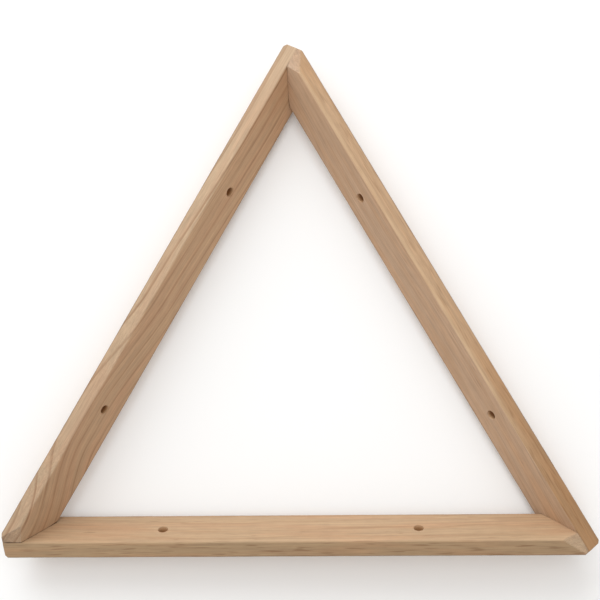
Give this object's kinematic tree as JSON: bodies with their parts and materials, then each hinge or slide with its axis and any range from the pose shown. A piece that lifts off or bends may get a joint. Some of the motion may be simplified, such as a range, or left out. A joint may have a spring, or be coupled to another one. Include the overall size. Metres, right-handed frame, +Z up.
{
  "type": "triangle ball rack",
  "caption": "Wooden triangle for racking billiard balls, made of leaning rails that butt in a pinwheel at trimmed corners, with blind holes in the wide faces.",
  "frame": {"origin": "under the middle of the rack's outline, on the surface that it lies on with its wide side up", "axes": "+X to the right along the bottom rail, +Y from the bottom rail to the apex, +Z up out of the wide side"},
  "size_m": [0.402, 0.3534, 0.0396],
  "materials": {
    "pine": "bare planed pine, matt, with eased edges",
    "pin_steel": "bright drawn steel wire"
  },
  "bodies": {
    "root": {"bottom_rail": "pine", "right_rail": "pine", "left_rail": "pine", "right_corner_outer_pin": "pin_steel", "right_corner_inner_pin": "pin_steel", "apex_outer_pin": "pin_steel", "apex_inner_pin": "pin_steel", "left_corner_outer_pin": "pin_steel", "left_corner_inner_pin": "pin_steel"}
  },
  "joints": []
}
